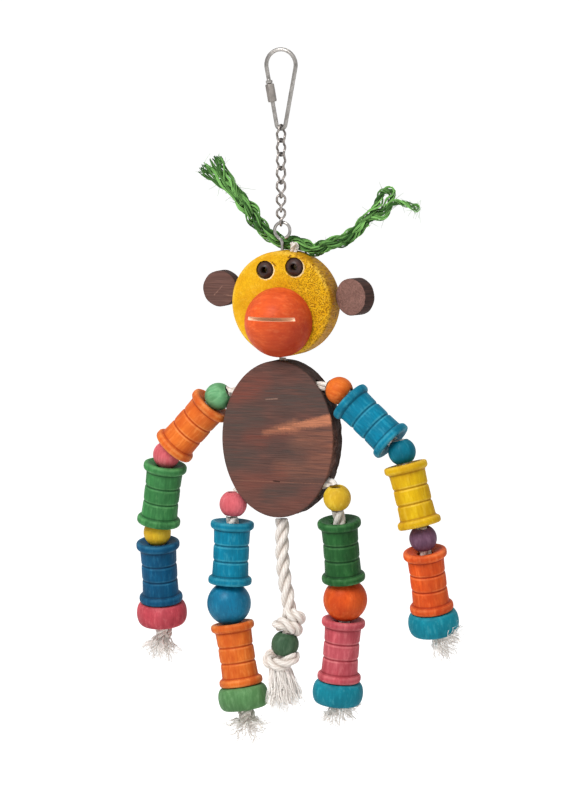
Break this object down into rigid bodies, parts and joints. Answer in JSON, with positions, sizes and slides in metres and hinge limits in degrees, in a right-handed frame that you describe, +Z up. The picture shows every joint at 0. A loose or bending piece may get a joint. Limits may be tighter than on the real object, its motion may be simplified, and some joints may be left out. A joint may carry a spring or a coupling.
{
  "type": "hanging monkey figure",
  "caption": "Hanging monkey figure of dyed wooden beads, thread spools and an oval slab on cotton rope, carried by a twisted steel chain and a quick link.",
  "frame": {"origin": "the point inside the top of the quick link that rests on a hook", "axes": "+Z up; the face looks along -Y; the viewer's right, facing the face, is +X"},
  "size_m": [0.2038, 0.0606, 0.4167],
  "materials": {
    "link_steel": "polished nickel plate",
    "chain_steel": "bright zinc plate",
    "yellow_wood": "dyed, satin",
    "orange_wood": "dyed, satin",
    "pink_wood": "dyed, satin",
    "light_green_wood": "dyed, satin",
    "green_wood": "dyed, satin",
    "teal_wood": "dyed, satin",
    "blue_wood": "dyed, satin",
    "purple_wood": "dyed, satin",
    "dark_green_wood": "dyed, satin",
    "eye_wood": "stained, satin",
    "ear_wood": "sawn, matte",
    "torso_wood": "sawn, matte",
    "cotton_rope": "twisted cotton",
    "sisal_rope": "dyed sisal fibre"
  },
  "bodies": {
    "hanger": {"pear_link": "link_steel"},
    "sleeve": {"link_sleeve": "link_steel"},
    "link_1": {"chain_link_1": "chain_steel"},
    "link_2": {"chain_link_2": "chain_steel"},
    "link_3": {"chain_link_3": "chain_steel"},
    "link_4": {"chain_link_4": "chain_steel"},
    "link_5": {"chain_link_5": "chain_steel"},
    "link_6": {"chain_link_6": "chain_steel"},
    "link_7": {"chain_link_7": "chain_steel"},
    "head": {"screw_eye": "link_steel", "head": "yellow_wood", "muzzle": "orange_wood", "left_eye": "eye_wood", "right_eye": "eye_wood", "left_ear": "ear_wood", "right_ear": "ear_wood", "hair_rope": "sisal_rope", "neck_cord": "cotton_rope"},
    "torso": {"torso": "torso_wood", "torso_ropes": "cotton_rope"},
    "tail": {"tail_rope": "cotton_rope"},
    "tail_bead": {"tail_bead": "dark_green_wood"},
    "left_shoulder": {"left_shoulder_bead": "light_green_wood", "left_shoulder_rope": "cotton_rope"},
    "left_upper_arm": {"left_upper_rope": "cotton_rope"},
    "left_upper_spool": {"left_upper_spool": "orange_wood"},
    "left_forearm": {"left_elbow_bead": "pink_wood", "left_middle_rope": "cotton_rope"},
    "left_middle_spool": {"left_middle_spool": "green_wood"},
    "left_hand": {"left_wrist_bead": "yellow_wood", "left_lower_rope": "cotton_rope"},
    "left_lower_spool": {"left_lower_spool": "blue_wood"},
    "left_hand_bun": {"left_hand_bun": "pink_wood"},
    "right_shoulder": {"right_shoulder_bead": "orange_wood", "right_shoulder_rope": "cotton_rope"},
    "right_upper_arm": {"right_upper_rope": "cotton_rope"},
    "right_upper_spool": {"right_upper_spool": "teal_wood"},
    "right_forearm": {"right_elbow_bead": "blue_wood", "right_middle_rope": "cotton_rope"},
    "right_middle_spool": {"right_middle_spool": "yellow_wood"},
    "right_hand": {"right_wrist_bead": "purple_wood", "right_lower_rope": "cotton_rope"},
    "right_lower_spool": {"right_lower_spool": "orange_wood"},
    "right_hand_bun": {"right_hand_bun": "teal_wood"},
    "left_hip": {"left_hip_bead": "pink_wood", "left_hip_rope": "cotton_rope"},
    "left_thigh": {"left_thigh_rope": "cotton_rope"},
    "left_thigh_spool": {"left_thigh_spool": "teal_wood"},
    "left_shin": {"left_knee_bead": "blue_wood", "left_shin_rope": "cotton_rope"},
    "left_shin_spool": {"left_shin_spool": "orange_wood"},
    "left_foot_bun": {"left_foot_bun": "light_green_wood"},
    "right_hip": {"right_hip_bead": "yellow_wood", "right_hip_rope": "cotton_rope"},
    "right_thigh": {"right_thigh_rope": "cotton_rope"},
    "right_thigh_spool": {"right_thigh_spool": "green_wood"},
    "right_shin": {"right_knee_bead": "orange_wood", "right_shin_rope": "cotton_rope"},
    "right_shin_spool": {"right_shin_spool": "pink_wood"},
    "right_foot_bun": {"right_foot_bun": "teal_wood"}
  },
  "joints": [
    {"name": "sleeve_slide", "type": "slide", "parent": "hanger", "child": "sleeve", "axis": [0.1839, 0, -0.9829], "range_m": [0, 0.0078]},
    {"name": "link_1_swing", "type": "hinge", "parent": "hanger", "child": "link_1", "pos_m": [0, 0, -0.04415], "axis": [0, 1, 0], "range_deg": [-12, 12]},
    {"name": "link_2_swing", "type": "hinge", "parent": "link_1", "child": "link_2", "pos_m": [0, 0, -0.05241], "axis": [1, 0, 0], "range_deg": [-12, 12]},
    {"name": "link_3_swing", "type": "hinge", "parent": "link_2", "child": "link_3", "pos_m": [0, 0, -0.06067], "axis": [0, 1, 0], "range_deg": [-12, 12]},
    {"name": "link_4_swing", "type": "hinge", "parent": "link_3", "child": "link_4", "pos_m": [0, 0, -0.06893], "axis": [1, 0, 0], "range_deg": [-12, 12]},
    {"name": "link_5_swing", "type": "hinge", "parent": "link_4", "child": "link_5", "pos_m": [0, 0, -0.07719], "axis": [0, 1, 0], "range_deg": [-12, 12]},
    {"name": "link_6_swing", "type": "hinge", "parent": "link_5", "child": "link_6", "pos_m": [0, 0, -0.08545], "axis": [1, 0, 0], "range_deg": [-12, 12]},
    {"name": "link_7_swing", "type": "hinge", "parent": "link_6", "child": "link_7", "pos_m": [0, 0, -0.09371], "axis": [0, 1, 0], "range_deg": [-12, 12]},
    {"name": "head_swing", "type": "hinge", "parent": "link_7", "child": "head", "pos_m": [0, 0, -0.10197], "axis": [1, 0, 0], "range_deg": [-12, 12]},
    {"name": "neck_tilt", "type": "hinge", "parent": "head", "child": "torso", "pos_m": [0.0008, 0, -0.18112], "axis": [0, 1, 0], "range_deg": [-15, 15]},
    {"name": "tail_swing", "type": "hinge", "parent": "torso", "child": "tail", "pos_m": [0.0008, 0, -0.27712], "axis": [1, 0, 0], "range_deg": [-30, 30]},
    {"name": "tail_bead_spin", "type": "hinge", "parent": "tail", "child": "tail_bead", "pos_m": [0.00258, 0, -0.35184], "axis": [0.1854, 0, 0.9827], "continuous": true},
    {"name": "left_shoulder_swing", "type": "hinge", "parent": "torso", "child": "left_shoulder", "pos_m": [-0.03892, -0.002, -0.20528], "axis": [0, 1, 0], "range_deg": [-2, 60]},
    {"name": "left_shoulder_flex", "type": "hinge", "parent": "left_shoulder", "child": "left_upper_arm", "pos_m": [-0.03892, -0.002, -0.20528], "axis": [1, 0, 0], "range_deg": [-60, 60]},
    {"name": "left_upper_spool_spin", "type": "hinge", "parent": "left_upper_arm", "child": "left_upper_spool", "pos_m": [-0.03892, -0.002, -0.20528], "axis": [0.6769, 0, 0.7361], "continuous": true},
    {"name": "left_elbow", "type": "hinge", "parent": "left_upper_arm", "child": "left_forearm", "pos_m": [-0.07189, -0.002, -0.24113], "axis": [0.9839, 0, -0.1788], "range_deg": [-30, 30]},
    {"name": "left_middle_spool_spin", "type": "hinge", "parent": "left_forearm", "child": "left_middle_spool", "pos_m": [-0.07189, -0.002, -0.24113], "axis": [0.1772, -0.134, 0.975], "continuous": true},
    {"name": "left_wrist", "type": "hinge", "parent": "left_forearm", "child": "left_hand", "pos_m": [-0.08052, 0.00453, -0.28863], "axis": [0.0057, 0.9763, 0.2164], "range_deg": [-12, 30]},
    {"name": "left_lower_spool_spin", "type": "hinge", "parent": "left_hand", "child": "left_lower_spool", "pos_m": [-0.08052, 0.00453, -0.28863], "axis": [0.0256, -0.2164, 0.976], "continuous": true},
    {"name": "left_hand_bun_spin", "type": "hinge", "parent": "left_hand", "child": "left_hand_bun", "pos_m": [-0.08052, 0.00453, -0.28863], "axis": [0.0256, -0.2164, 0.976], "continuous": true},
    {"name": "right_shoulder_swing", "type": "hinge", "parent": "torso", "child": "right_shoulder", "pos_m": [0.03769, -0.003, -0.19947], "axis": [0, 1, 0], "range_deg": [-60, 2]},
    {"name": "right_shoulder_flex", "type": "hinge", "parent": "right_shoulder", "child": "right_upper_arm", "pos_m": [0.03769, -0.003, -0.19947], "axis": [1, 0, 0], "range_deg": [-60, 60]},
    {"name": "right_upper_spool_spin", "type": "hinge", "parent": "right_upper_arm", "child": "right_upper_spool", "pos_m": [0.03769, -0.003, -0.19947], "axis": [-0.7466, 0, 0.6652], "continuous": true},
    {"name": "right_elbow", "type": "hinge", "parent": "right_upper_arm", "child": "right_forearm", "pos_m": [0.0769, -0.003, -0.2344], "axis": [0.9711, 0, 0.2385], "range_deg": [-30, 30]},
    {"name": "right_middle_spool_spin", "type": "hinge", "parent": "right_forearm", "child": "right_middle_spool", "pos_m": [0.0769, -0.003, -0.2344], "axis": [-0.2384, -0.0384, 0.9704], "continuous": true},
    {"name": "right_wrist", "type": "hinge", "parent": "right_forearm", "child": "right_hand", "pos_m": [0.08941, -0.00098, -0.28536], "axis": [-0.011, 0.9703, 0.2417], "range_deg": [-30, 12]},
    {"name": "right_lower_spool_spin", "type": "hinge", "parent": "right_hand", "child": "right_lower_spool", "pos_m": [0.08941, -0.00098, -0.28536], "axis": [-0.044, -0.2419, 0.9693], "continuous": true},
    {"name": "right_hand_bun_spin", "type": "hinge", "parent": "right_hand", "child": "right_hand_bun", "pos_m": [0.08941, -0.00098, -0.28536], "axis": [-0.044, -0.2419, 0.9693], "continuous": true},
    {"name": "left_hip_swing", "type": "hinge", "parent": "torso", "child": "left_hip", "pos_m": [-0.02956, -0.002, -0.26922], "axis": [0, 1, 0], "range_deg": [0, 12]},
    {"name": "left_hip_flex", "type": "hinge", "parent": "left_hip", "child": "left_thigh", "pos_m": [-0.02956, -0.002, -0.26922], "axis": [1, 0, 0], "range_deg": [-60, 60]},
    {"name": "left_thigh_spool_spin", "type": "hinge", "parent": "left_thigh", "child": "left_thigh_spool", "pos_m": [-0.02956, -0.002, -0.26922], "axis": [0.0575, -0.0332, 0.9978], "continuous": true},
    {"name": "left_knee", "type": "hinge", "parent": "left_thigh", "child": "left_shin", "pos_m": [-0.033, -0.00002, -0.32885], "axis": [0.9903, 0, 0.1392], "range_deg": [-60, 60]},
    {"name": "left_shin_spool_spin", "type": "hinge", "parent": "left_shin", "child": "left_shin_spool", "pos_m": [-0.033, -0.00002, -0.32885], "axis": [-0.139, -0.0558, 0.9887], "continuous": true},
    {"name": "left_foot_bun_spin", "type": "hinge", "parent": "left_shin", "child": "left_foot_bun", "pos_m": [-0.033, -0.00002, -0.32885], "axis": [-0.139, -0.0558, 0.9887], "continuous": true},
    {"name": "right_hip_swing", "type": "hinge", "parent": "torso", "child": "right_hip", "pos_m": [0.03643, -0.003, -0.26316], "axis": [0, 1, 0], "range_deg": [-12, 4]},
    {"name": "right_hip_flex", "type": "hinge", "parent": "right_hip", "child": "right_thigh", "pos_m": [0.03643, -0.003, -0.26316], "axis": [1, 0, 0], "range_deg": [-60, 60]},
    {"name": "right_thigh_spool_spin", "type": "hinge", "parent": "right_thigh", "child": "right_thigh_spool", "pos_m": [0.03643, -0.003, -0.26316], "axis": [-0.0103, -0.1994, 0.9799], "continuous": true},
    {"name": "right_knee", "type": "hinge", "parent": "right_thigh", "child": "right_shin", "pos_m": [0.03707, 0.00957, -0.32495], "axis": [0.9932, 0, -0.1167], "range_deg": [-60, 60]},
    {"name": "right_shin_spool_spin", "type": "hinge", "parent": "right_shin", "child": "right_shin_spool", "pos_m": [0.03707, 0.00957, -0.32495], "axis": [0.1161, -0.0976, 0.9884], "continuous": true},
    {"name": "right_foot_bun_spin", "type": "hinge", "parent": "right_shin", "child": "right_foot_bun", "pos_m": [0.03707, 0.00957, -0.32495], "axis": [0.1161, -0.0976, 0.9884], "continuous": true}
  ]
}
